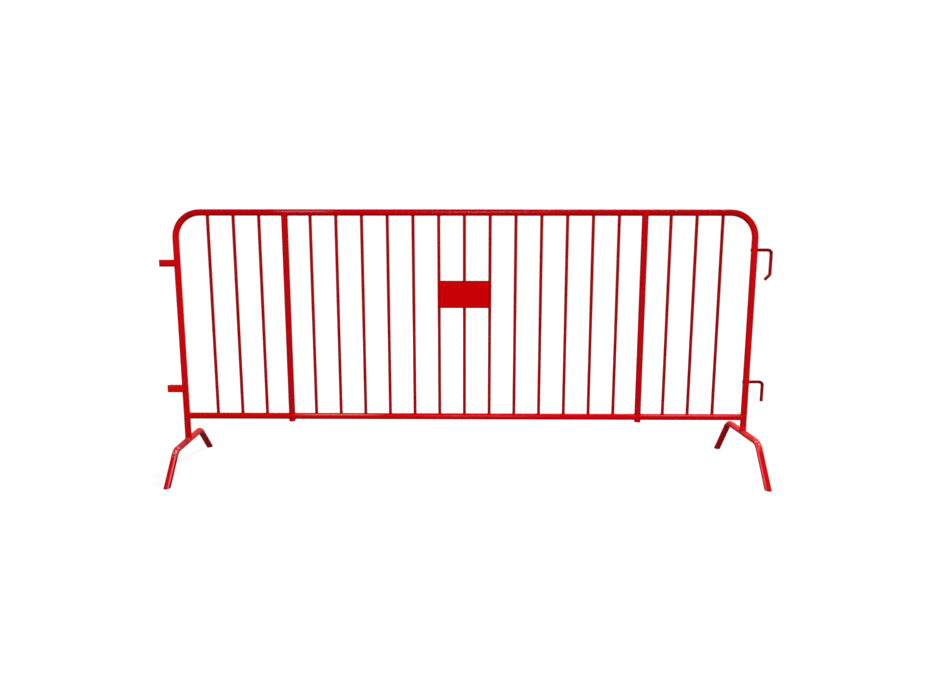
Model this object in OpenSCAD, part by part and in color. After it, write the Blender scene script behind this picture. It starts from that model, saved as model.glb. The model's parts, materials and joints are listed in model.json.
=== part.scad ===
// Pedestrian barrier panel: a welded tube panel that stands on two swivelling bridge feet.
// X runs along the panel, Y from the front to the back, Z up. The origin is on the ground,
// midway between the two uprights.

/* [Panel] */
// Width over the two uprights of the frame tube
panel_w = 2420; // [1800:10:3000]
// Height of the top of the frame above the ground
panel_h = 1100; // [850:5:1300]
// Radius of the two top corners, at the middle of the tube
corner_r = 105; // [60:1:125]
// Height of the bottom rail's middle above the ground
rail_z = 224.5; // [200:0.5:320]
// From the bottom rail's middle down to the lower ends of the two uprights
upright_drop = 34; // [20:0.5:60]

/* [Tube] */
// Outside diameter of the frame, rail, post and foot tube
tube_d = 26.9; // [22:0.1:30]
// Wall of that tube
tube_wall = 1.5; // [1:0.1:3]

/* [Infill] */
// Uprights between the two sides of the frame, posts included
infill_count = 21; // [11:2:27]
// Distance from a side of the frame to the first upright, between their middles
end_gap = 136.5; // [130:0.1:180]
// Outside diameter of an infill bar
bar_d = 13.5; // [10:0.1:16]
// Wall of an infill bar
bar_wall = 1.2; // [0.8:0.1:2]
// Thin bars between each side of the frame and its full-size post
outer_bar_count = 3; // [1:1:4]
// How far a post stands out under the bottom rail
post_drop = 8.5; // [3:0.5:20]

/* [Sign plate] */
// Height of the plate
plate_h = 114; // [60:1:200]
// From the top of the frame down to the plate's middle
plate_drop = 349.5; // [200:0.5:500]
// Thickness of the plate's sheet
plate_t = 1.5; // [1:0.1:2.5]
// How far the plate laps over the front of the bars at its two sides
plate_lap = 5; // [2:0.5:8]
// Depth of the plate's folded top and bottom edges
plate_lip = 8; // [6:0.5:15]
// Outside radius of those folds
plate_fold_r = 4; // [3:0.5:5]
// Size of the clips off the plate's two upper corners
plate_clip = 5; // [2:0.5:10]

/* [Hooks] */
// Diameter of the hook rod
hook_d = 13.5; // [9:0.1:16]
// Distance from the upright's middle to the hook leg's middle
hook_reach = 70; // [50:1:100]
// Bend radius of the hook rod, at its middle
hook_bend_r = 15; // [9:0.5:20]
// How far the rod stands out through the inner side of the upright
hook_stub = 0.8; // [0.5:0.1:6]
// From the top of the frame down to the upper hook's arm
upper_hook_drop = 165; // [150:1:300]
// From the upper hook's arm down to the corner of its tail
upper_leg = 102; // [70:1:150]
// Angle between the upper hook's leg and its tail
tail_angle = 45; // [20:1:60]
// Length of the upper hook's tail from its corner
tail_len = 29; // [16:1:40]
// From the bottom rail up to the lower hook's arm
lower_hook_rise = 154.5; // [110:0.5:250]
// From the lower hook's arm down to the end of its leg
lower_leg = 84; // [50:1:100]

/* [Loops] */
// Height of the loop's strap
strap_h = 28; // [15:1:45]
// Thickness of the loop's strap
strap_t = 3; // [2:0.1:5]
// Distance from the upright's middle to the outside of the loop
loop_reach = 76; // [50:1:100]
// From the top of the frame down to the upper loop's middle
upper_loop_drop = 221.5; // [170:0.5:350]
// From the bottom rail up to the lower loop's middle
lower_loop_rise = 119.5; // [60:0.5:200]

/* [Feet] */
// Half the length of a foot's bridge, between the corners of its middle line
bridge_half = 158; // [120:1:220]
// How far each leg's end stands out past the bridge's corner
leg_splay = 123; // [60:1:180]
// Bend radius of the foot tube, at its middle
foot_bend_r = 60; // [40:1:90]
// Angle that both feet stand turned on their uprights
swivel_angle = 2.4; // [-30:0.1:30]
// Length of the left foot's stub above its bridge
left_stub = 60; // [30:0.5:90]
// Length of the right foot's stub above its bridge
right_stub = 19; // [10:0.5:60]
// How far the stub's end wraps down over the bridge
saddle_h = 9; // [3:0.5:10]
// Wall of the spigot that stands in the stub and in the upright
spigot_wall = 3; // [2:0.1:5]
// How far the spigot reaches up into the upright
spigot_rise = 80; // [40:1:150]

/* [Fits] */
// Clearance all round between a spigot and its upright
swivel_gap = 0.08; // [0.05:0.01:0.1]
// Gap between an upright's end and the stub's rim
rim_gap = 0.3; // [0.2:0.05:0.5]
// Gap between a spigot's foot and the bridge
spigot_gap = 0.5; // [0.2:0.1:2]
// Root gap of every welded joint
weld_gap = 0.05; // [0.02:0.01:0.1]

/* [Hidden] */
$fn = 96;
// A bend is a hair fatter than the straight tube, and the straight runs a little way into it
bend_swell = 0.01;
// The same for a bend of solid rod
rod_swell = 0.1;
bend_lap = 0.05;
// How far every cut runs past what it cuts
overrun = 5;
red_paint = [0.78, 0.0, 0.03];
bar_paint = [0.70, 0.0, 0.02];

tube_r = tube_d / 2;
bar_r = bar_d / 2;
hook_r = hook_d / 2;
upright_x = panel_w / 2 - tube_r;
top_z = panel_h - tube_r;
pitch = (2 * upright_x - 2 * end_gap) / (infill_count - 1);
middle_place = (infill_count + 1) / 2;
post_places = [outer_bar_count + 1, infill_count - outer_bar_count];
post_x = (middle_place - post_places[0]) * pitch;
bar_places = [for (i = [1 : infill_count]) if (len(search(i, post_places)) == 0) i];
rail_bottom = rail_z - tube_r;
upper_hook_z = panel_h - upper_hook_drop;
lower_hook_z = rail_z + lower_hook_rise;
upper_loop_z = panel_h - upper_loop_drop;
lower_loop_z = rail_z + lower_loop_rise;

plate_w = 2 * pitch - bar_d + 2 * plate_lap;
plate_z = panel_h - plate_drop;
plate_back_y = -bar_r - weld_gap;

spigot_r = tube_r - tube_wall - swivel_gap;
upright_end = rail_z - upright_drop;
rim_z = upright_end - rim_gap;
left_bridge_z = rim_z - left_stub - tube_r;
right_bridge_z = rim_z - right_stub - tube_r;
foot_reach = bridge_half + leg_splay;

function two_digits(n) = n < 10 ? str("0", n) : str(n);
function bar_name(k) = str("infill_bar_", two_digits(k));
function place_x(i) = (i - middle_place) * pitch;

BAR_NODES = [for (k = [1 : len(bar_places)]) bar_name(k)];

// A tube along Z from the origin
module pipe(outer_r, wall, length) {
    linear_extrude(height = length) difference() {
        circle(r = outer_r);
        circle(r = outer_r - wall);
    }
}

// A straight run of frame tube along +X that laps back into the bend behind it
module straight_run(length) {
    translate([-bend_lap, 0, 0]) rotate([0, 90, 0]) pipe(tube_r, tube_wall, length + 2 * bend_lap);
}

// A bend of frame tube in the XY plane, from the X axis towards Y, about the origin
module tube_bend(radius, angle) {
    rotate_extrude(angle = angle) translate([radius, 0]) difference() {
        circle(r = tube_r + bend_swell);
        circle(r = tube_r - tube_wall - bend_swell);
    }
}

// A solid rod along +X that laps into the bends at both its ends
module rod_run(length) {
    translate([-bend_lap, 0, 0]) rotate([0, 90, 0]) cylinder(r = hook_r, h = length + 2 * bend_lap);
}

// A bend of solid rod in the XY plane, from the X axis towards Y, about the origin
module rod_bend(radius, angle) {
    rotate_extrude(angle = angle) translate([radius, 0]) circle(r = hook_r + rod_swell);
}

// What a horizontal tube at height z takes out of the tubes welded to it
module rail_cope(z) {
    translate([-panel_w / 2, 0, z]) rotate([0, 90, 0]) cylinder(r = tube_r + weld_gap, h = panel_w);
}

// What an upright tube at x takes out of the tubes and straps welded to it
module upright_cope(x) {
    translate([x, 0, -overrun]) cylinder(r = tube_r + weld_gap, h = panel_h + 2 * overrun);
}

// The frame: one tube bent into an upside-down U, drilled for the two hooks
module frame_tube() {
    top_run = 2 * (upright_x - corner_r);
    side_run = top_z - corner_r - upright_end;
    color(red_paint) difference() {
        union() {
            translate([-top_run / 2, 0, top_z]) straight_run(top_run);
            for (side = [0, 1]) mirror([side, 0, 0]) translate([top_run / 2, 0, top_z - corner_r]) {
                rotate([90, 0, 0]) tube_bend(corner_r, 90);
                translate([corner_r, 0, 0]) rotate([0, 90, 0]) straight_run(side_run - bend_lap);
            }
        }
        for (z = [upper_hook_z, lower_hook_z]) {
            translate([upright_x - tube_r - overrun, 0, z])
                rotate([0, 90, 0])
                cylinder(r = hook_r + weld_gap, h = tube_d + 2 * overrun);
        }
    }
}

// One length of bottom rail between two upright tubes
module rail_length(x_from, x_to) {
    color(red_paint) difference() {
        translate([x_from, 0, rail_z]) rotate([0, 90, 0]) pipe(tube_r, tube_wall, x_to - x_from);
        upright_cope(x_from);
        upright_cope(x_to);
    }
}

// A full-size post, open at its lower end under the rail
module inner_post(x) {
    bottom = rail_bottom - post_drop;
    color(red_paint) difference() {
        translate([x, 0, bottom]) pipe(tube_r, tube_wall, top_z - bottom);
        rail_cope(top_z);
    }
}

// A thin bar between the two rails
module infill_bar(x) {
    color(bar_paint) difference() {
        translate([x, 0, rail_z]) pipe(bar_r, bar_wall, top_z - rail_z);
        rail_cope(top_z);
        rail_cope(rail_z);
    }
}

// The outline of the plate's section, or of its hollow, in from the outside by inset
module plate_section(inset, back) {
    fold = plate_fold_r - inset;
    height = plate_h - 2 * inset;
    depth = plate_lip - inset;
    translate([back, -height / 2]) square([depth - fold - back, height]);
    translate([back, fold - height / 2]) square([depth - back, height - 2 * fold]);
    for (side = [-1, 1]) {
        translate([depth - fold, side * (height / 2 - fold)]) circle(r = fold);
    }
}

// The bare sign plate, whose top and bottom edges fold back to the front of the three middle bars
module sign_plate() {
    clip_side = plate_clip * sqrt(2);
    color(red_paint) translate([0, plate_back_y, plate_z]) difference() {
        rotate([90, 0, -90]) linear_extrude(height = plate_w, center = true) difference() {
            plate_section(0, 0);
            plate_section(plate_t, -overrun);
        }
        for (side = [-1, 1]) {
            translate([side * plate_w / 2, -plate_lip / 2, plate_h / 2])
                rotate([0, 45, 0])
                cube([clip_side, plate_lip + 2 * overrun, clip_side], center = true);
        }
    }
}

// A hook's arm through the upright and its bend down, in the XY plane with the leg towards -Y
module hook_arm() {
    arm = hook_reach - hook_bend_r;
    inner_end = -tube_r - hook_stub;
    translate([inner_end + bend_lap, 0, 0]) rod_run(arm - inner_end - bend_lap);
    translate([arm, -hook_bend_r, 0]) rod_bend(hook_bend_r, 90);
}

// The upper hook, whose tail turns back towards the upright
module upper_hook() {
    tangent = hook_bend_r * tan(tail_angle / 2);
    leg = upper_leg - hook_bend_r - tangent;
    color(red_paint) translate([upright_x, 0, upper_hook_z]) rotate([90, 0, 0]) {
        hook_arm();
        translate([hook_reach, -hook_bend_r, 0]) rotate([0, 0, -90]) rod_run(leg);
        translate([hook_reach - hook_bend_r, -hook_bend_r - leg, 0]) {
            rotate([0, 0, -tail_angle]) {
                rod_bend(hook_bend_r, tail_angle);
                translate([hook_bend_r, 0, 0]) rotate([0, 0, -90]) rod_run(tail_len - tangent - bend_lap);
            }
        }
    }
}

// The lower hook, with a plain straight leg
module lower_hook() {
    color(red_paint) translate([upright_x, 0, lower_hook_z]) rotate([90, 0, 0]) {
        hook_arm();
        translate([hook_reach, -hook_bend_r, 0])
            rotate([0, 0, -90])
            rod_run(lower_leg - hook_bend_r - bend_lap);
    }
}

// A flat strap bent into a U and welded to the outside of the left upright
module strap_loop(z) {
    bend_x = -upright_x - loop_reach + tube_r;
    color(red_paint) translate([0, 0, z - strap_h / 2]) difference() {
        union() {
            translate([bend_x, 0, 0]) rotate([0, 0, 90]) rotate_extrude(angle = 180) {
                translate([tube_r - strap_t - bend_swell, 0]) square([strap_t + bend_swell, strap_h]);
            }
            for (side = [0, 1]) mirror([0, side, 0]) {
                translate([bend_x - bend_lap, tube_r - strap_t, 0])
                    cube([loop_reach - tube_r + bend_lap, strap_t - bend_swell, strap_h]);
            }
        }
        upright_cope(-upright_x);
    }
}

// The bent tube of a foot: a bridge across the panel's line with a splayed leg at each end
module foot_bridge(x, bridge_z) {
    leg_angle = atan2(bridge_z, leg_splay);
    tangent = foot_bend_r * tan(leg_angle / 2);
    half_run = bridge_half - tangent;
    leg_run = norm([bridge_z, leg_splay]) - tangent + tube_d;
    color(red_paint) translate([x, 0, 0]) rotate([0, 0, swivel_angle]) difference() {
        rotate([90, 0, 90]) {
            translate([-half_run, bridge_z, 0]) straight_run(2 * half_run);
            for (side = [0, 1]) mirror([side, 0, 0]) {
                translate([half_run, bridge_z - foot_bend_r, 0]) rotate([0, 0, 90 - leg_angle]) {
                    tube_bend(foot_bend_r, leg_angle);
                    translate([foot_bend_r, 0, 0]) rotate([0, 0, -90]) straight_run(leg_run);
                }
            }
        }
        translate([-tube_d, -foot_reach - 2 * tube_d, -2 * tube_d])
            cube([2 * tube_d, 2 * foot_reach + 4 * tube_d, 2 * tube_d]);
    }
}

// The stub of tube that stands on the bridge under an upright's end
module foot_stub(x, bridge_z) {
    bottom = bridge_z + tube_r - saddle_h;
    color(red_paint) translate([x, 0, 0]) rotate([0, 0, swivel_angle]) difference() {
        translate([0, 0, bottom]) pipe(tube_r, tube_wall, rim_z - bottom);
        translate([0, -bridge_half, bridge_z])
            rotate([-90, 0, 0])
            cylinder(r = tube_r + weld_gap, h = 2 * bridge_half);
    }
}

// The spigot fixed in the stub, on which the upright turns
module foot_spigot(x, bridge_z) {
    bottom = bridge_z + tube_r + spigot_gap;
    color(red_paint) translate([x, 0, bottom]) {
        pipe(spigot_r, spigot_wall, upright_end + spigot_rise - bottom);
    }
}

frame_tube();
rail_length(-upright_x, -post_x);  // bottom_rail_left
rail_length(-post_x, post_x);  // bottom_rail_centre
rail_length(post_x, upright_x);  // bottom_rail_right
inner_post(-post_x);  // inner_post_left
inner_post(post_x);  // inner_post_right
for (k = [1 : len(bar_places)]) {
    infill_bar(place_x(bar_places[k - 1]));
}
sign_plate();
upper_hook();
lower_hook();
strap_loop(upper_loop_z);  // upper_loop
strap_loop(lower_loop_z);  // lower_loop
foot_bridge(-upright_x, left_bridge_z);  // left_foot_bridge
foot_stub(-upright_x, left_bridge_z);  // left_foot_stub
foot_spigot(-upright_x, left_bridge_z);  // left_foot_spigot
foot_bridge(upright_x, right_bridge_z);  // right_foot_bridge
foot_stub(upright_x, right_bridge_z);  // right_foot_stub
foot_spigot(upright_x, right_bridge_z);  // right_foot_spigot
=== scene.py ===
"""Dresses the pedestrian barrier panel: red powder coat, weld beads, studio floor, light and camera."""

import json
import logging
import math
from dataclasses import dataclass
from enum import Enum
from typing import Iterable

import bpy
from mathutils import Euler, Matrix, Vector


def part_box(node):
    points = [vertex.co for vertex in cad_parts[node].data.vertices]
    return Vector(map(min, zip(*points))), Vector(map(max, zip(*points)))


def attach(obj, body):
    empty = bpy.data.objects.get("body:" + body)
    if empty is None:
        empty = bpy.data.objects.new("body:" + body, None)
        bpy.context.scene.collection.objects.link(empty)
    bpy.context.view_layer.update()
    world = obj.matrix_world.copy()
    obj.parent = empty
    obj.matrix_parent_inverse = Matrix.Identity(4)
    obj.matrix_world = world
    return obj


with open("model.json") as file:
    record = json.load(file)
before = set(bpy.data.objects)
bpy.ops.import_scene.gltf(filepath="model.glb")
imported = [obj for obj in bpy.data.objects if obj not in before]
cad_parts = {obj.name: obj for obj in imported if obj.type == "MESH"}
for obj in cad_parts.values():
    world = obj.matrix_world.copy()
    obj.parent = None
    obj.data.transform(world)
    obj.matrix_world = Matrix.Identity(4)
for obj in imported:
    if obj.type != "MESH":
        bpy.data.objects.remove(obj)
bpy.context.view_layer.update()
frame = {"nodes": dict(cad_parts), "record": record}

log = logging.getLogger("barrier_panel")

MM = 0.001
QUARTER_TURN_DEG = 90.0
HALF_TURN_DEG = 180.0
UP = Vector((0.0, 0.0, 1.0))
RIGHTWARD = Vector((1.0, 0.0, 0.0))

Colour = tuple[float, float, float]
Limits = tuple[float, float]
Stops = tuple[float, float, float, float]
Line = list[Vector]
Socket = bpy.types.NodeSocket
Feed = float | Colour | Vector | Socket

WHITE: Colour = (1.0, 1.0, 1.0)
NOISE_RANGE: Limits = (0.3, 0.7)


class Body(Enum):
    """The rigid bodies that a piece can ride on."""

    PANEL = "panel"
    LEFT_FOOT = "left_foot"
    RIGHT_FOOT = "right_foot"


class Run(Enum):
    """How a weld bead ends: it closes on itself, or tapers off at both ends."""

    CLOSED = "closed"
    OPEN = "open"


class Side(Enum):
    """The panel's two ends, by the direction in which they lie along X."""

    LEFT = -1
    RIGHT = 1

    @property
    def word(self) -> str:
        """The end's name, as the node names have it."""
        return self.name.lower()

    @property
    def foot(self) -> Body:
        """The body of the foot at this end."""
        return Body.LEFT_FOOT if self is Side.LEFT else Body.RIGHT_FOOT


def grey(level: float) -> Colour:
    """The colour whose three parts have one level."""
    return (level, level, level)


class NodeSheet:
    """The node tree of a material or a world, with short ways to add nodes and join them."""

    def __init__(self, owner: bpy.types.Material | bpy.types.World) -> None:
        """Opens the node tree of a material or a world."""
        owner.use_nodes = True
        self.nodes = owner.node_tree.nodes
        self.links = owner.node_tree.links

    def feed(self, socket: Socket, value: Feed) -> None:
        """Links another node's output to a socket, or sets the socket to a plain value.

        Args:
            socket: The input socket.
            value: The output to link, or the number or colour to set.
        """
        if isinstance(value, Socket):
            self.links.new(value, socket)
        elif socket.type == "RGBA":
            socket.default_value = (*value, 1.0)
        else:
            socket.default_value = value

    def add(self, kind: str, inputs: dict[str | int, Feed], **choices: str) -> bpy.types.Node:
        """Adds a node.

        Args:
            kind: The node's type, without its leading "ShaderNode".
            inputs: What its input sockets get, by name or by place.
            choices: The node's own settings, such as its operation.

        Returns:
            The node.
        """
        node = self.nodes.new("ShaderNode" + kind)
        for name, choice in choices.items():
            setattr(node, name, choice)
        for key, value in inputs.items():
            self.feed(node.inputs[key], value)
        return node

    def place(self) -> Socket:
        """The surface's place in its own object's coordinates."""
        return self.add("TexCoord", {}).outputs["Object"]

    def axes(self, place: Socket) -> tuple[Socket, Socket, Socket]:
        """The X, Y and Z of a place."""
        parts = self.add("SeparateXYZ", {"Vector": place}).outputs
        return parts["X"], parts["Y"], parts["Z"]

    def math(self, operation: str, first: Feed, second: Feed = 0.0) -> Socket:
        """One step of arithmetic on two values."""
        return self.add("Math", {0: first, 1: second}, operation=operation).outputs["Value"]

    def facing(self, direction: Vector, none: float, full: float) -> Socket:
        """How far the surface faces a direction that turns with its object.

        Args:
            direction: The direction, of length 1.
            none: The normal's part along the direction up to which the result is 0.
            full: The part from which on the result is 1.

        Returns:
            The result, from 0 to 1.
        """
        normal = self.add("TexCoord", {}).outputs["Normal"]
        dot = self.add("VectorMath", {0: normal, 1: direction}, operation="DOT_PRODUCT")
        return self.spread(dot.outputs["Value"], none, full, 0.0, 1.0)

    def off_middle(self, value: Socket, middle: float) -> Socket:
        """How far a value lies from a middle one, either way."""
        return self.math("ABSOLUTE", self.math("SUBTRACT", value, middle))

    def spread(self, value: Socket, start: float, end: float, at_start: float, at_end: float) -> Socket:
        """Carries a value's range over to another range, and holds it at the ends.

        Args:
            value: The value.
            start: Where its range starts.
            end: Where its range ends.
            at_start: The result at the start.
            at_end: The result at the end.

        Returns:
            The result.
        """
        inputs = {"Value": value, "From Min": start, "From Max": end, "To Min": at_start, "To Max": at_end}
        return self.add("MapRange", inputs).outputs["Result"]

    def noise(self, place: Socket, size: float, detail: float) -> Socket:
        """Noise that mostly fills NOISE_RANGE, with blotches of a size in metres and some finer layers."""
        inputs = {"Vector": place, "Scale": 1.0 / size, "Detail": detail}
        return self.add("TexNoise", inputs).outputs["Fac"]

    def ramp(self, value: Socket, stops: list[tuple[float, Colour]]) -> Socket:
        """Turns a value into a colour.

        Args:
            value: The value, from 0 to 1.
            stops: The ramp's places and the colours there.

        Returns:
            The colour.
        """
        node = self.add("ValToRGB", {"Fac": value})
        elements = node.color_ramp.elements
        while len(elements) < len(stops):
            elements.new(1.0)
        for element, (position, colour) in zip(elements, stops):
            element.position = position
            element.color = (*colour, 1.0)
        return node.outputs["Color"]

    def mix(self, share: Feed, first: Feed, second: Feed, blend: str = "MIX") -> Socket:
        """Mixes a second colour into a first.

        Args:
            share: How much of the second colour there is.
            first: The first colour.
            second: The second colour.
            blend: How the two are mixed.

        Returns:
            The mixed colour.
        """
        node = self.add("Mix", {0: share}, data_type="RGBA", blend_type=blend)
        colours = [socket for socket in node.inputs if socket.type == "RGBA"]
        self.feed(colours[0], first)
        self.feed(colours[1], second)
        return [socket for socket in node.outputs if socket.type == "RGBA"][0]

    def bump(self, height: Socket, depth: float, under: Socket | None = None) -> Socket:
        """The normal of a surface with some relief.

        Args:
            height: The relief, from 0 to 1.
            depth: The relief's depth in metres.
            under: The normal of a broader relief that this one lies on.

        Returns:
            The normal.
        """
        node = self.add("Bump", {"Height": height, "Distance": depth, "Strength": 1.0})
        if under is not None:
            self.feed(node.inputs["Normal"], under)
        return node.outputs["Normal"]


@dataclass(frozen=True)
class RubLine:
    """A painted highlight line on a rail: its place along X, the side it is on, how bright it is, and how
    narrow.

    The facing limits say how closely the surface has to face the side: no highlight up to the first, and
    the full highlight from the second.
    """

    middle: float
    half_length: float
    side: tuple[float, float, float]
    most: float
    facing: Limits = (0.965, 0.995)


@dataclass(frozen=True)
class PowderCoat:
    """Red powder coat: two close shades, painted shade underneath, painted highlight lines, its gloss
    and its orange peel.

    Lengths are in metres and colours are linear. A facing field holds the normal's part along a direction
    at which an effect starts, and the part from which on it is full.
    """

    name: str
    shade: Colour
    deep_shade: Colour
    roughness_low: float = 0.14
    roughness_high: float = 0.22
    specular_level: float = 0.025
    mottle_size: float = 0.16
    mottle_detail: float = 3.0
    mottle_range: Limits = (0.35, 0.65)
    peel_size: float = 0.0022
    peel_detail: float = 2.0
    peel_depth: float = 0.00002
    # Painted shade on surfaces that face down, and the colour of the painted highlight lines.
    clean_facing: Limits = (-0.7, 0.0)
    grime_most: float = 0.35
    grime_shade: Colour = (0.10, 0.001, 0.002)
    rub_shade: Colour = (0.88, 0.30, 0.33)
    rub_lines: tuple[RubLine, ...] = ()

    def material(self) -> bpy.types.Material:
        """Builds the coat's node tree, or finds it if it is already there.

        Returns:
            The material of this coat.
        """
        found = bpy.data.materials.get(self.name)
        if found is not None:
            return found
        material = bpy.data.materials.new(self.name)
        sheet = NodeSheet(material)
        place = sheet.place()
        mottle = sheet.noise(place, self.mottle_size, self.mottle_detail)
        gloss = sheet.spread(mottle, *NOISE_RANGE, self.roughness_low, self.roughness_high)
        shader = sheet.nodes["Principled BSDF"]
        sheet.feed(shader.inputs["Base Color"], self.tint(sheet, place, mottle))
        sheet.feed(shader.inputs["Roughness"], gloss)
        sheet.feed(shader.inputs["Specular IOR Level"], self.specular_level)
        sheet.feed(shader.inputs["Normal"], self.relief(sheet, place))
        return material

    def tint(self, sheet: NodeSheet, place: Socket, mottle: Socket) -> Socket:
        """The coat's colour, which drifts between its two shades, with painted shade underneath
        and pale painted highlight lines.

        Args:
            sheet: The material's node tree.
            place: The surface's coordinates.
            mottle: The noise that the shades follow.

        Returns:
            The colour.
        """
        deep_up_to, full_from = self.mottle_range
        base_colour = sheet.ramp(mottle, [(deep_up_to, self.deep_shade), (full_from, self.shade)])
        # Painted shade: surfaces that face down are darkened.
        painted_shade = sheet.spread(sheet.facing(UP, *self.clean_facing), 0.0, 1.0, self.grime_most, 0.0)
        colour = sheet.mix(painted_shade, base_colour, self.grime_shade)
        # Painted highlight lines: pale pink where a rail would catch the light.
        for line in self.rub_lines:
            colour = sheet.mix(self._rubbed(sheet, place, line), colour, self.rub_shade)
        return colour

    @staticmethod
    def _rubbed(sheet: NodeSheet, place: Socket, line: RubLine) -> Socket:
        """How bright one painted highlight line makes a place.

        Args:
            sheet: The material's node tree.
            place: The surface's coordinates.
            line: The worn line.

        Returns:
            The painted highlight, from 0 to the line's most.
        """
        x, _, _ = sheet.axes(place)
        off_line = sheet.off_middle(x, line.middle)
        along = sheet.spread(off_line, line.half_length / 2, line.half_length, line.most, 0.0)
        across = sheet.facing(Vector(line.side).normalized(), *line.facing)
        return sheet.math("MULTIPLY", along, across)

    def relief(self, sheet: NodeSheet, place: Socket) -> Socket:
        """The normal of the coat's surface, which has nothing but its orange peel."""
        return self._peel(sheet, place)

    def _peel(self, sheet: NodeSheet, place: Socket, under: Socket | None = None) -> Socket:
        """The normal of the fine orange peel, on top of a broader relief where there is one.

        Args:
            sheet: The material's node tree.
            place: The surface's coordinates.
            under: The normal of the broader relief.

        Returns:
            The normal.
        """
        return sheet.bump(sheet.noise(place, self.peel_size, self.peel_detail), self.peel_depth, under)


@dataclass(frozen=True)
class DullTopCoat(PowderCoat):
    """The coat of a piece with painted shade along its top, down to a depth."""

    node: str = "frame_tube"
    dull_depth: float = 0.060
    dull_share: float = 0.72

    def tint(self, sheet: NodeSheet, place: Socket, mottle: Socket) -> Socket:
        """The coat's colour, with painted shade along the piece's top.

        Args:
            sheet: The material's node tree.
            place: The surface's coordinates.
            mottle: The noise that the shades follow.

        Returns:
            The colour.
        """
        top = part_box(self.node)[1].z
        _, _, z = sheet.axes(place)
        base_colour = super().tint(sheet, place, mottle)
        # Painted shade: darker along the top.
        on_top = sheet.spread(z, top - self.dull_depth, top - self.dull_depth / 2, 0.0, 1.0)
        return sheet.mix(on_top, base_colour, grey(self.dull_share), blend="MULTIPLY")


@dataclass(frozen=True)
class HookCoat(DullTopCoat):
    """The coat of one rod hook, a darker red as painted shade, with more painted shade along its arm."""

    shade: Colour = (0.37, 0.0008, 0.0026)
    deep_shade: Colour = (0.32, 0.0006, 0.0020)
    dull_depth: float = 0.027
    dull_share: float = 0.64


@dataclass(frozen=True)
class LoopCoat(PowderCoat):
    """The coat of one strap loop, with painted shade towards the strap's lower and upper edges.

    The reaches of the two dark edges are shares of the strap's height.
    """

    node: str = "upper_loop"
    lower_share: float = 0.38
    upper_share: float = 0.72
    lower_reach: float = 0.45
    upper_reach: float = 0.30

    def tint(self, sheet: NodeSheet, place: Socket, mottle: Socket) -> Socket:
        """The coat's colour, shaded by the height on the strap.

        Args:
            sheet: The material's node tree.
            place: The surface's coordinates.
            mottle: The noise that the shades follow.

        Returns:
            The colour.
        """
        low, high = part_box(self.node)
        _, _, z = sheet.axes(place)
        height = sheet.spread(z, low.z, high.z, 0.0, 1.0)
        # Painted shade: darker towards the strap's lower and upper edges.
        shading = sheet.ramp(height, [
            (0.0, grey(self.lower_share)),
            (self.lower_reach, WHITE),
            (1.0 - self.upper_reach, WHITE),
            (1.0, grey(self.upper_share)),
        ])
        return sheet.mix(1.0, super().tint(sheet, place, mottle), shading, blend="MULTIPLY")


@dataclass(frozen=True)
class PlateCoat(PowderCoat):
    """The coat of the folded sheet: painted shade on folds and sides, a painted lighter band just inside
    them, slightly wavy.

    The stops are shares of the edge's reach: where the dark edge ends, where the lighter band starts and
    ends, and where the plain coat starts.
    """

    node: str = "sign_plate"
    edge_reach: float = 0.024
    fold_share: float = 0.50
    fold_stops: Stops = (0.24, 0.34, 0.44, 0.62)
    side_share: float = 0.72
    side_stops: Stops = (0.14, 0.24, 0.40, 0.60)
    band_share: float = 1.12
    wave_size: float = 0.055
    wave_detail: float = 1.0
    wave_depth: float = 0.0006

    def tint(self, sheet: NodeSheet, place: Socket, mottle: Socket) -> Socket:
        """The coat's colour, shaded by the distance from the sheet's folds and from its sides.

        Args:
            sheet: The material's node tree.
            place: The surface's coordinates.
            mottle: The noise that the shades follow.

        Returns:
            The colour.
        """
        low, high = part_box(self.node)
        middle = (low + high) / 2
        x, _, z = sheet.axes(place)
        from_fold = sheet.math("SUBTRACT", (high.z - low.z) / 2, sheet.off_middle(z, middle.z))
        from_side = sheet.math("SUBTRACT", (high.x - low.x) / 2, sheet.off_middle(x, middle.x))
        # Painted shade on the folds and sides, with a painted lighter band just inside them.
        folds = self._edge_shading(sheet, from_fold, self.fold_share, self.fold_stops)
        sides = self._edge_shading(sheet, from_side, self.side_share, self.side_stops)
        colour = sheet.mix(1.0, super().tint(sheet, place, mottle), folds, blend="MULTIPLY")
        return sheet.mix(1.0, colour, sides, blend="MULTIPLY")

    def _edge_shading(self, sheet: NodeSheet, inward: Socket, share: float, stops: Stops) -> Socket:
        """The shading from an edge inwards: dark on the edge, then a lighter band, then plain.

        Args:
            sheet: The material's node tree.
            inward: The distance in from the edge.
            share: How bright the edge is.
            stops: Where the shading changes, as shares of the edge's reach.

        Returns:
            The shading, which multiplies the colour.
        """
        inside = sheet.spread(inward, 0.0, self.edge_reach, 0.0, 1.0)
        levels = (share, self.band_share, self.band_share, 1.0)
        return sheet.ramp(inside, [(stop, grey(level)) for stop, level in zip(stops, levels)])

    def relief(self, sheet: NodeSheet, place: Socket) -> Socket:
        """The normal of the sheet's slow waves with the orange peel on top."""
        waves = sheet.bump(sheet.noise(place, self.wave_size, self.wave_detail), self.wave_depth)
        return self._peel(sheet, place, under=waves)


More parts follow.
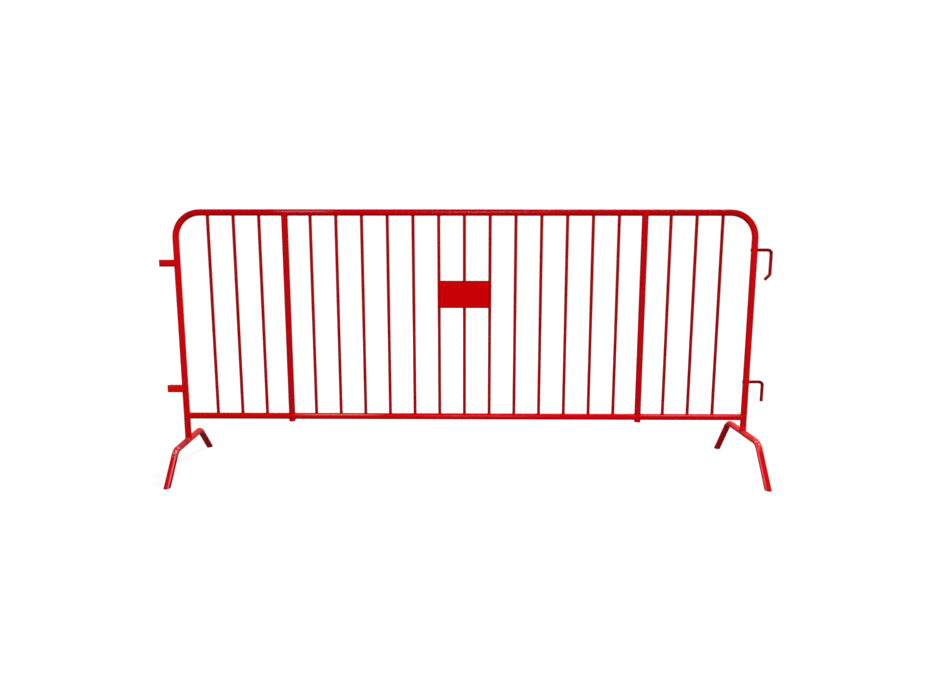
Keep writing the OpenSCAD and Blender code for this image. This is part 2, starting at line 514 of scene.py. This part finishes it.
@dataclass(frozen=True)
class FootCoat(PowderCoat):
    """The coat of one foot, with the scuffs of its use and with painted light and shade.

    The legs are scuffed above the ground, carry painted shade on the right side and a painted highlight
    streak on the inner side. The bends are dented and carry painted highlight patches, the bridge carries
    a painted sheen on its top, and the bridge as a whole is painted lighter or darker than the legs.
    """

    side: Side = Side.LEFT
    scuff_height: float = 0.03
    scuff_size: float = 0.015
    scuff_detail: float = 4.0
    scuff_most: float = 0.75
    scuff_shade: Colour = (0.16, 0.012, 0.012)
    # Painted shade on the side facing right, and painted light on the bridge.
    lee_facing: Limits = (0.55, 0.9)
    lee_most: float = 0.6
    bridge_gain: float = 1.0
    bridge_rub: float = 0.07
    bend_reach: float = 0.162
    bend_core: float = 0.012
    bend_spread: float = 0.036
    dent_size: float = 0.013
    dent_detail: float = 0.0
    dent_depth: float = 0.0024
    # Painted highlights: patches on the bends, a streak along the legs and a sheen on the bridge's top.
    worn_facing: Limits = (0.0, 0.3)
    patch_size: float = 0.011
    patch_detail: float = 2.0
    patch_range: Limits = (0.53, 0.63)
    streak_most: float = 0.45
    streak_middle: float = 0.0078
    streak_half: float = 0.0028

    def tint(self, sheet: NodeSheet, place: Socket, mottle: Socket) -> Socket:
        """The coat's colour with the bridge's painted light, the painted shade, the painted highlights and
        the scuffs.

        Args:
            sheet: The material's node tree.
            place: The surface's coordinates.
            mottle: The noise that the shades follow.

        Returns:
            The colour.
        """
        _, _, z = sheet.axes(place)
        near_ground = sheet.spread(z, 0.0, self.scuff_height, self.scuff_most, 0.0)
        scuff_noise = sheet.noise(place, self.scuff_size, self.scuff_detail)
        scuffs = sheet.math("MULTIPLY", near_ground, scuff_noise)
        on_leg = self._on_leg(sheet, place)
        # Painted light: the bridge is made lighter or darker than the legs.
        gain = sheet.ramp(on_leg, [(0.0, grey(self.bridge_gain)), (1.0, WHITE)])
        base_colour = sheet.mix(1.0, super().tint(sheet, place, mottle), gain, blend="MULTIPLY")
        # Painted shade on the surfaces that face right.
        painted_shade = sheet.math("MULTIPLY", sheet.facing(RIGHTWARD, *self.lee_facing), self.lee_most)
        plain = sheet.mix(sheet.math("MULTIPLY", painted_shade, on_leg), base_colour, self.grime_shade)
        # Painted highlights in a pale pink.
        highlighted = sheet.mix(self._worn(sheet, place), plain, self.rub_shade)
        return sheet.mix(scuffs, highlighted, self.scuff_shade)

    def _worn(self, sheet: NodeSheet, place: Socket) -> Socket:
        """The painted highlights: patches on the bends, the streak along the legs, and a light sheen on
        the bridge.

        Args:
            sheet: The material's node tree.
            place: The surface's coordinates.

        Returns:
            The painted highlight, from 0 to 1.
        """
        # Painted highlight patches on the bends.
        patch_noise = sheet.noise(place, self.patch_size, self.patch_detail)
        patches = sheet.spread(patch_noise, *self.patch_range, 0.0, 1.0)
        patches = sheet.math("MULTIPLY", patches, self._in_bend(sheet, place))
        on_leg = self._on_leg(sheet, place)
        # Painted highlight streak along the leg.
        streak = sheet.math("MULTIPLY", self._on_streak(sheet, place), on_leg)
        streak = sheet.math("MULTIPLY", streak, self.streak_most)
        # Painted sheen on the bridge's top.
        bridge = sheet.spread(on_leg, 0.0, 1.0, self.bridge_rub, 0.0)
        highlight = sheet.math("MAXIMUM", patches, sheet.math("MAXIMUM", streak, bridge))
        return sheet.math("MULTIPLY", highlight, sheet.facing(UP, *self.worn_facing))

    def _on_streak(self, sheet: NodeSheet, place: Socket) -> Socket:
        """A value that is 1 along a streak on the foot tube's inner side, and 0 beside it.

        Args:
            sheet: The material's node tree.
            place: The surface's coordinates.

        Returns:
            The value.
        """
        x, y, _ = sheet.axes(place)
        axis_x = centre(f"{self.side.word}_foot_stub").x
        turn = foot_turn(self.side)
        across = sheet.math("MULTIPLY", sheet.math("SUBTRACT", x, axis_x), math.cos(turn))
        across = sheet.math("ADD", across, sheet.math("MULTIPLY", y, math.sin(turn)))
        inward = sheet.math("MULTIPLY", across, -self.side.value)
        off_streak = sheet.off_middle(inward, self.streak_middle)
        return sheet.spread(off_streak, self.streak_half / 2, self.streak_half, 1.0, 0.0)

    def relief(self, sheet: NodeSheet, place: Socket) -> Socket:
        """The normal of the dents in the two bends with the orange peel on top."""
        dent_noise = sheet.noise(place, self.dent_size, self.dent_detail)
        height = sheet.math("MULTIPLY", dent_noise, self._in_bend(sheet, place))
        return self._peel(sheet, place, under=sheet.bump(height, self.dent_depth))

    def _on_leg(self, sheet: NodeSheet, place: Socket) -> Socket:
        """A value that is 0 on the bridge and rises to 1 past the bends, on the two legs."""
        _, y, _ = sheet.axes(place)
        along = sheet.math("ABSOLUTE", y)
        return sheet.spread(along, self.bend_reach, self.bend_reach + self.bend_spread, 0.0, 1.0)

    def _in_bend(self, sheet: NodeSheet, place: Socket) -> Socket:
        """A value that is 1 in the middle of the two bends and falls to 0 past their ends."""
        _, y, _ = sheet.axes(place)
        off_bend = sheet.off_middle(sheet.math("ABSOLUTE", y), self.bend_reach)
        return sheet.spread(off_bend, self.bend_core, self.bend_spread, 1.0, 0.0)


class Coat(Enum):
    """The panel's one red, painted lighter or darker on its different pieces as painted light and shade.
    """

    # Each piece's red is set lighter or darker by how the light falls on it: painted light and shade.
    FRAME = DullTopCoat(
        "frame_coat", (0.64, 0.0008, 0.0030), (0.58, 0.0005, 0.0025),
        # Painted highlight line on the top rail.
        rub_lines=(RubLine(middle=-0.66, half_length=0.13, side=(0.0, -0.95, 0.30), most=0.35),),
    )
    RAIL = PowderCoat(
        "rail_coat", (0.62, 0.0008, 0.0030), (0.56, 0.0005, 0.0025),
        rub_lines=(
            # Painted highlight lines on the bottom rail.
            RubLine(middle=-0.54, half_length=0.20, side=(0.0, -0.79, 0.61), most=0.40),
            RubLine(middle=0.96, half_length=0.26, side=(0.0, -0.79, 0.61), most=0.24),
        ),
    )
    POST = PowderCoat("post_coat", (0.53, 0.0008, 0.0030), (0.48, 0.0005, 0.0025))
    BAR = PowderCoat("bar_coat", (0.42, 0.0005, 0.0020), (0.37, 0.0004, 0.0016))
    PLATE = PlateCoat("plate_coat", (0.54, 0.0002, 0.0016), (0.51, 0.0001, 0.0012), specular_level=0.005)
    UPPER_HOOK = HookCoat("upper_hook_coat", node="upper_hook")
    LOWER_HOOK = HookCoat("lower_hook_coat", node="lower_hook")
    UPPER_LOOP = LoopCoat(
        "upper_loop_coat", (0.66, 0.0008, 0.0030), (0.60, 0.0006, 0.0025), node="upper_loop",
    )
    # The lower loop gets a lighter red than the upper one, as painted light.
    LOWER_LOOP = LoopCoat(
        "lower_loop_coat", (0.82, 0.0008, 0.0030), (0.75, 0.0006, 0.0025), node="lower_loop",
    )
    LEFT_FOOT = FootCoat(
        "left_foot_coat", (0.66, 0.0016, 0.0050), (0.59, 0.0010, 0.0040),
        specular_level=0.008, grime_most=0.43, side=Side.LEFT, bridge_gain=0.85,
    )
    # The right foot gets a lighter red than the left one, as painted light.
    RIGHT_FOOT = FootCoat(
        "right_foot_coat", (0.76, 0.0016, 0.0050), (0.69, 0.0010, 0.0040),
        specular_level=0.008, grime_most=0.62, side=Side.RIGHT, bridge_gain=1.22, bridge_rub=0.10,
        streak_most=0.40, streak_middle=0.0108, streak_half=0.0024,
    )
    WELD = PowderCoat("weld_coat", (0.56, 0.0012, 0.0045), (0.50, 0.0008, 0.0035), peel_size=0.0012)


def centre(node: str) -> Vector:
    """The middle of a CAD node's box."""
    low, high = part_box(node)
    return (low + high) / 2


def foot_turn(side: Side) -> float:
    """The angle about Z at which a foot stands, from its two ends on the ground."""
    ends = {mount["name"]: Vector(mount["pos_m"]) for mount in frame["record"]["mounts"]}
    along = ends[f"{side.word}_back_ground_end"] - ends[f"{side.word}_front_ground_end"]
    return math.atan2(-along.x, along.y)


def deselect_all() -> None:
    """Leaves nothing selected, so that an operator acts on its own piece alone."""
    bpy.ops.object.select_all(action="DESELECT")


def paint(names: Iterable[str], coat: Coat) -> None:
    """Gives CAD nodes a coat.

    Args:
        names: The nodes' names.
        coat: The coat that they get.
    """
    for name in names:
        for slot in frame["nodes"][name].material_slots:
            slot.material = coat.value.material()
        log.info("painted %s with %s", name, coat.value.name)


@dataclass
class WeldBead:
    """One weld bead, a rounded ripple of metal along a line on the joint."""

    line: Line
    radius: float
    run: Run
    ripple_share: float = 0.16
    ripple_length: float = 2.2 * MM
    taper_start: float = 0.45
    taper_points: int = 3
    bevel_steps: int = 3

    def lay(self) -> bpy.types.Object:
        """Lays the bead as a bevelled curve along its line and turns it into a mesh.

        Returns:
            The bead's mesh object.
        """
        deselect_all()
        bpy.ops.curve.primitive_nurbs_path_add(location=(0.0, 0.0, 0.0))
        bead = bpy.context.object
        curve = bead.data
        curve.splines.clear()
        spline = curve.splines.new("POLY")
        spline.points.add(len(self.line) - 1)
        travelled = 0.0
        for index, point in enumerate(self.line):
            if index > 0:
                travelled += (point - self.line[index - 1]).length
            spline.points[index].co = (*point, 1.0)
            spline.points[index].radius = self._thickness(index, travelled)
        spline.use_cyclic_u = self.run is Run.CLOSED
        curve.dimensions = "3D"
        curve.bevel_depth = self.radius
        curve.bevel_resolution = self.bevel_steps
        curve.use_fill_caps = self.run is Run.OPEN
        bpy.ops.object.convert(target="MESH")
        return bpy.context.object

    def _thickness(self, index: int, travelled: float) -> float:
        """The bead's thickness at a point of its line, as a share of its radius.

        Args:
            index: The point's place in the line.
            travelled: The length of bead before the point.

        Returns:
            The share.
        """
        ripple = 1.0 - self.ripple_share * abs(math.sin(math.pi * travelled / self.ripple_length))
        from_end = min(index, len(self.line) - 1 - index)
        if self.run is Run.CLOSED or from_end >= self.taper_points:
            return ripple
        return ripple * (self.taper_start + (1.0 - self.taper_start) * from_end / self.taper_points)


@dataclass
class WeldGroup:
    """The weld beads of one sub-assembly, joined into one piece."""

    name: str
    body: Body
    beads: list[WeldBead]

    def build(self) -> bpy.types.Object:
        """Lays the beads, joins them, paints them and lets them ride on their body.

        Returns:
            The piece that holds all the beads.
        """
        laid = [bead.lay() for bead in self.beads]
        deselect_all()
        for bead in laid:
            bead.select_set(True)
        bpy.context.view_layer.objects.active = laid[0]
        bpy.ops.object.join()
        piece = bpy.context.object
        piece.name = self.name
        piece.data.name = self.name
        bpy.ops.object.mode_set(mode="EDIT")
        bpy.ops.mesh.select_all(action="SELECT")
        bpy.ops.mesh.normals_make_consistent(inside=False)
        bpy.ops.object.mode_set(mode="OBJECT")
        bpy.ops.object.shade_smooth()
        piece.data.materials.clear()
        piece.data.materials.append(Coat.WELD.value.material())
        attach(piece, self.body.value)
        log.info("laid %d beads of %s", len(self.beads), self.name)
        return piece


def ring(radius: float, place: Matrix, count: int = 72) -> Line:
    """A closed ring of points about a place's Z axis."""
    turns = [math.tau * index / count for index in range(count)]
    return [place @ Vector((radius * math.cos(turn), radius * math.sin(turn), 0.0)) for turn in turns]


def cope_ring(branch_r: float, main_r: float, place: Matrix, count: int = 72) -> Line:
    """The closed line where a branch tube along +Z leaves a main tube that lies along X.

    Args:
        branch_r: The branch tube's radius.
        main_r: The main tube's radius.
        place: Where the main tube's axis meets the branch's, and how the two are turned.
        count: How many points the line has.

    Returns:
        The line's points.
    """
    line = []
    for index in range(count):
        turn = math.tau * index / count
        across = branch_r * math.sin(turn)
        rise = math.sqrt(max(main_r ** 2 - across ** 2, 0.0))
        line.append(place @ Vector((branch_r * math.cos(turn), across, rise)))
    return line


def straight_line(start: Vector, end: Vector, count: int = 12) -> Line:
    """Evenly spaced points from one place to another."""
    return [start.lerp(end, index / (count - 1)) for index in range(count)]


def turned(place: Vector, x_deg: float = 0.0, y_deg: float = 0.0, z_deg: float = 0.0) -> Matrix:
    """A place with a turn about the three axes, in degrees."""
    turn = Euler((math.radians(x_deg), math.radians(y_deg), math.radians(z_deg)))
    return Matrix.Translation(place) @ turn.to_matrix().to_4x4()


@dataclass
class TubeFrame:
    """The bent frame tube, the bottom rail in its three lengths, and the two inner posts."""

    tube_r: float
    upright_x: float
    upright_end: float
    post_x: float
    rail_z: float
    top_z: float
    bead_r: float = 2.0 * MM
    rim_r: float = 0.8 * MM

    @classmethod
    def from_nodes(cls) -> "TubeFrame":
        """Reads the frame's sizes from the CAD nodes."""
        post_low, post_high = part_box("inner_post_right")
        tube_r = (post_high.x - post_low.x) / 2
        low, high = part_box("frame_tube")
        return cls(
            tube_r=tube_r,
            upright_x=high.x - tube_r,
            upright_end=low.z,
            post_x=centre("inner_post_right").x,
            rail_z=centre("bottom_rail_centre").z,
            top_z=high.z - tube_r,
        )

    def dress(self) -> None:
        """Paints the tubes and lays beads at the rail's ends, the posts' tops and the uprights' ends."""
        paint(["frame_tube"], Coat.FRAME)
        paint(["bottom_rail_left", "bottom_rail_centre", "bottom_rail_right"], Coat.RAIL)
        paint(["inner_post_left", "inner_post_right"], Coat.POST)
        beads = self._rail_ends() + self._post_tops() + self._upright_rims()
        WeldGroup("frame_welds", Body.PANEL, beads).build()

    def _rail_ends(self) -> list[WeldBead]:
        """The beads round the six ends of the bottom rail's lengths."""
        ends = [(-self.upright_x, 1), (self.upright_x, -1)]
        for side in Side:
            ends += [(side.value * self.post_x, 1), (side.value * self.post_x, -1)]
        beads = []
        for x, facing in ends:
            place = turned(Vector((x, 0.0, self.rail_z)), y_deg=QUARTER_TURN_DEG * facing)
            beads.append(WeldBead(cope_ring(self.tube_r, self.tube_r, place), self.bead_r, Run.CLOSED))
        return beads

    def _post_tops(self) -> list[WeldBead]:
        """The beads where the two inner posts meet the underside of the top tube."""
        beads = []
        for side in Side:
            place = turned(Vector((side.value * self.post_x, 0.0, self.top_z)), x_deg=HALF_TURN_DEG)
            beads.append(WeldBead(cope_ring(self.tube_r, self.tube_r, place), self.bead_r, Run.CLOSED))
        return beads

    def _upright_rims(self) -> list[WeldBead]:
        """The thick edge of paint round the lower end of each upright."""
        beads = []
        for side in Side:
            place = turned(Vector((side.value * self.upright_x, 0.0, self.upright_end + self.rim_r)))
            beads.append(WeldBead(ring(self.tube_r, place), self.rim_r, Run.CLOSED, ripple_share=0.0))
        return beads


@dataclass
class BarInfill:
    """The thin upright bars between the two rails."""

    names: list[str]
    bar_r: float
    bead_r: float = 1.5 * MM
    bead_points: int = 40

    @classmethod
    def from_nodes(cls) -> "BarInfill":
        """Finds the bars among the CAD nodes."""
        names = sorted(name for name in frame["nodes"] if name.startswith("infill_bar_"))
        low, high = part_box(names[0])
        return cls(names=names, bar_r=(high.x - low.x) / 2)

    def dress(self, tubes: TubeFrame) -> None:
        """Paints the bars and lays a bead at each of their ends.

        Args:
            tubes: The frame that the bars are welded into.
        """
        paint(self.names, Coat.BAR)
        beads = []
        for name in self.names:
            x = centre(name).x
            foot = turned(Vector((x, 0.0, tubes.rail_z)))
            head = turned(Vector((x, 0.0, tubes.top_z)), x_deg=HALF_TURN_DEG)
            for place in (foot, head):
                line = cope_ring(self.bar_r, tubes.tube_r, place, self.bead_points)
                beads.append(WeldBead(line, self.bead_r, Run.CLOSED))
        WeldGroup("bar_welds", Body.PANEL, beads).build()


@dataclass
class SignPlate:
    """The bare plate in front of the middle bars."""

    bead_r: float = 1.8 * MM
    bead_half: float = 5.0 * MM

    def dress(self, infill: BarInfill) -> None:
        """Paints the plate and lays a short bead above and below it on each bar behind it.

        Args:
            infill: The bars that carry the plate.
        """
        paint(["sign_plate"], Coat.PLATE)
        low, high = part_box("sign_plate")
        beads = []
        for name in infill.names:
            x = centre(name).x
            start = max(x - self.bead_half, low.x)
            end = min(x + self.bead_half, high.x)
            if end <= start:
                continue
            for z in (low.z, high.z):
                line = straight_line(Vector((start, high.y, z)), Vector((end, high.y, z)))
                beads.append(WeldBead(line, self.bead_r, Run.OPEN))
        WeldGroup("plate_welds", Body.PANEL, beads).build()


@dataclass
class CouplingHooks:
    """The two rod hooks that pass through the right upright."""

    coats: tuple[Coat, Coat] = (Coat.UPPER_HOOK, Coat.LOWER_HOOK)
    outer_bead_r: float = 1.8 * MM
    inner_bead_r: float = 0.8 * MM
    bead_points: int = 40

    def dress(self, tubes: TubeFrame) -> None:
        """Paints the hooks and lays a bead round each rod, and a thinner one round its inner end.

        Args:
            tubes: The frame that the hooks are welded to.
        """
        beads = []
        for coat in self.coats:
            name = coat.value.node
            paint([name], coat)
            low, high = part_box(name)
            rod_r = (high.y - low.y) / 2
            arm = Vector((tubes.upright_x, 0.0, high.z - rod_r))
            for facing, bead_r in ((1, self.outer_bead_r), (-1, self.inner_bead_r)):
                place = turned(arm, y_deg=QUARTER_TURN_DEG * facing)
                line = cope_ring(rod_r, tubes.tube_r, place, self.bead_points)
                beads.append(WeldBead(line, bead_r, Run.CLOSED))
        WeldGroup("hook_welds", Body.PANEL, beads).build()


@dataclass
class StrapLoops:
    """The two strap loops on the left upright."""

    coats: tuple[Coat, Coat] = (Coat.UPPER_LOOP, Coat.LOWER_LOOP)
    bead_r: float = 1.6 * MM
    bead_points: int = 24

    def dress(self, tubes: TubeFrame) -> None:
        """Paints the loops and lays a bead down each end of their straps.

        Args:
            tubes: The frame that the loops are welded to.
        """
        beads = []
        for coat in self.coats:
            name = coat.value.node
            paint([name], coat)
            low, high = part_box(name)
            for y in (low.y, high.y):
                start = Vector((-tubes.upright_x, y, low.z))
                end = Vector((-tubes.upright_x, y, high.z))
                line = straight_line(start, end, self.bead_points)
                beads.append(WeldBead(line, self.bead_r, Run.OPEN))
        WeldGroup("loop_welds", Body.PANEL, beads).build()


@dataclass
class SwivelFoot:
    """One bridge foot, with the stub on it that the upright's end rests over."""

    side: Side
    saddle_bead_r: float = 3.0 * MM

    def dress(self, tubes: TubeFrame) -> None:
        """Paints the foot and lays its beads.

        Args:
            tubes: The frame that the foot carries.
        """
        word = self.side.word
        coat = Coat.LEFT_FOOT if self.side is Side.LEFT else Coat.RIGHT_FOOT
        paint([f"{word}_foot_bridge", f"{word}_foot_stub", f"{word}_foot_spigot"], coat)
        saddle = WeldBead(self._saddle_line(tubes.tube_r), self.saddle_bead_r, Run.CLOSED)
        stub_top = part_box(f"{word}_foot_stub")[1].z
        rim_place = turned(Vector((self.side.value * tubes.upright_x, 0.0, stub_top - tubes.rim_r)))
        rim = WeldBead(ring(tubes.tube_r, rim_place), tubes.rim_r, Run.CLOSED, ripple_share=0.0)
        WeldGroup(f"{word}_foot_welds", self.side.foot, [saddle, rim]).build()

    def _saddle_line(self, tube_r: float, count: int = 96) -> Line:
        """The line round the stub's lower end, on the bridge tube's upper side.

        Args:
            tube_r: The radius of the stub and of the bridge tube.
            count: How many points the line has.

        Returns:
            The line's points.
        """
        stub = f"{self.side.word}_foot_stub"
        axis = centre(stub)
        axis.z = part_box(f"{self.side.word}_foot_bridge")[1].z - tube_r
        widest = math.sqrt(tube_r ** 2 - (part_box(stub)[0].z - axis.z) ** 2)
        place = turned(axis, z_deg=math.degrees(foot_turn(self.side)))
        line = []
        for index in range(count):
            angle = math.tau * index / count
            across = max(-widest, min(widest, tube_r * math.cos(angle)))
            rise = math.sqrt(tube_r ** 2 - across ** 2)
            line.append(place @ Vector((across, tube_r * math.sin(angle), rise)))
        return line


@dataclass(frozen=True)
class Softbox:
    """One soft lamp: where it stands, what it points at, its size, its power, and if gloss mirrors it."""

    name: str
    place: tuple[float, float, float]
    target: tuple[float, float, float]
    width: float
    height: float
    watts: float
    mirrored: bool = True

    def build(self) -> bpy.types.Object:
        """Adds the lamp.

        Returns:
            The lamp's object.
        """
        deselect_all()
        bpy.ops.object.light_add(type="AREA", location=self.place)
        lamp = bpy.context.object
        lamp.name = self.name
        lamp.data.shape = "RECTANGLE"
        lamp.data.size = self.width
        lamp.data.size_y = self.height
        lamp.data.energy = self.watts
        lamp.visible_glossy = self.mirrored
        aim = Vector(self.target) - Vector(self.place)
        lamp.rotation_euler = aim.to_track_quat("-Z", "Y").to_euler()
        return lamp


@dataclass(frozen=True)
class PhotoCamera:
    """The photograph's camera: where it stood, how it was turned, and its focal length in pixels."""

    place: tuple[float, float, float] = (0.0382, -3.1306, 1.0507)
    pitch_deg: float = 9.73
    yaw_deg: float = 0.538
    roll_deg: float = 0.03
    focal_px: float = 750.0
    image_w_px: float = 933.0
    sensor_mm: float = 36.0

    def build(self) -> bpy.types.Object:
        """Adds the camera and makes it the scene's.

        Returns:
            The camera's object.
        """
        deselect_all()
        bpy.ops.object.camera_add(location=self.place)
        camera = bpy.context.object
        camera.name = "photo_camera"
        turn = Matrix.Rotation(math.radians(self.yaw_deg), 4, "Z")
        turn @= Matrix.Rotation(math.radians(QUARTER_TURN_DEG - self.pitch_deg), 4, "X")
        turn @= Matrix.Rotation(math.radians(self.roll_deg), 4, "Z")
        camera.rotation_euler = turn.to_euler()
        camera.data.sensor_fit = "HORIZONTAL"
        camera.data.sensor_width = self.sensor_mm
        camera.data.lens = self.sensor_mm * self.focal_px / self.image_w_px
        bpy.context.scene.camera = camera
        return camera


@dataclass
class Studio:
    """The white floor and surroundings, the soft lamps and the camera."""

    floor_size: float = 60.0
    floor_albedo: float = 0.16
    near_glow: float = 0.86
    far_glow: float = 1.0
    near_reach: float = 1.5
    far_reach: float = 5.0
    surround_light: float = 0.10
    lamps: tuple[Softbox, ...] = (
        Softbox("key_softbox", (0.1, -4.5, 2.4), (0.0, 0.0, 0.5), width=0.9, height=1.2, watts=228.0),
        Softbox("back_softbox", (1.5, 2.0, 4.2), (0.5, 0.0, 0.3), width=2.4, height=0.8, watts=190.0),
        Softbox("right_softbox", (6.0, 0.7, 4.2), (0.0, 0.0, 0.3), width=0.6, height=1.2, watts=45.0),
        Softbox(
            "rear_softbox", (0.0, 4.6, 2.2), (0.0, 0.0, 0.5), width=1.6, height=1.2, watts=120.0,
            mirrored=False,
        ),
    )

    def build(self) -> None:
        """Adds the floor, the surroundings, the lamps and the camera."""
        bpy.context.scene.view_settings.view_transform = "Standard"
        self._floor()
        self._surroundings()
        for lamp in self.lamps:
            lamp.build()
        PhotoCamera().build()
        log.info("studio ready with %d lamps", len(self.lamps))

    @staticmethod
    def _seen_directly(sheet: NodeSheet) -> Socket:
        """A value that is 1 for camera, glossy and transmission rays, and 0 for the rest."""
        rays = sheet.add("LightPath", {}).outputs
        camera_or_glossy = sheet.math("MAXIMUM", rays["Is Camera Ray"], rays["Is Glossy Ray"])
        return sheet.math("MAXIMUM", camera_or_glossy, rays["Is Transmission Ray"])

    def _floor(self) -> None:
        """Adds the pale floor, which keeps the panel's shadow."""
        deselect_all()
        bpy.ops.mesh.primitive_plane_add(size=self.floor_size, location=(0.0, 0.0, 0.0))
        floor = bpy.context.object
        floor.name = "studio_floor"
        material = bpy.data.materials.new("studio_floor_white")
        sheet = NodeSheet(material)
        sheet.nodes.remove(sheet.nodes["Principled BSDF"])
        matt = sheet.add("BsdfDiffuse", {"Color": grey(self.floor_albedo)}).outputs["BSDF"]
        reach = sheet.add("VectorMath", {0: sheet.place()}, operation="LENGTH").outputs["Value"]
        level = sheet.spread(reach, self.near_reach, self.far_reach, self.near_glow, self.far_glow)
        seen = sheet.math("MULTIPLY", level, self._seen_directly(sheet))
        glow = sheet.add("Emission", {"Strength": seen}).outputs["Emission"]
        both = sheet.add("AddShader", {0: matt, 1: glow}).outputs["Shader"]
        sheet.feed(sheet.nodes["Material Output"].inputs["Surface"], both)
        floor.data.materials.append(material)

    def _surroundings(self) -> None:
        """Makes the surroundings white to look at, and a soft even light on the panel."""
        world = bpy.data.worlds.new("studio_surround")
        bpy.context.scene.world = world
        sheet = NodeSheet(world)
        level = sheet.spread(self._seen_directly(sheet), 0.0, 1.0, self.surround_light, 1.0)
        background = sheet.nodes["Background"]
        sheet.feed(background.inputs["Color"], WHITE)
        sheet.feed(background.inputs["Strength"], level)


def main() -> None:
    """Builds the studio and dresses each sub-assembly in turn."""
    logging.basicConfig(level=logging.INFO, format="%(name)s: %(message)s")
    Studio().build()
    tubes = TubeFrame.from_nodes()
    tubes.dress()
    infill = BarInfill.from_nodes()
    infill.dress(tubes)
    SignPlate().dress(infill)
    CouplingHooks().dress(tubes)
    StrapLoops().dress(tubes)
    for side in Side:
        SwivelFoot(side).dress(tubes)


if __name__ == "__main__":
    main()
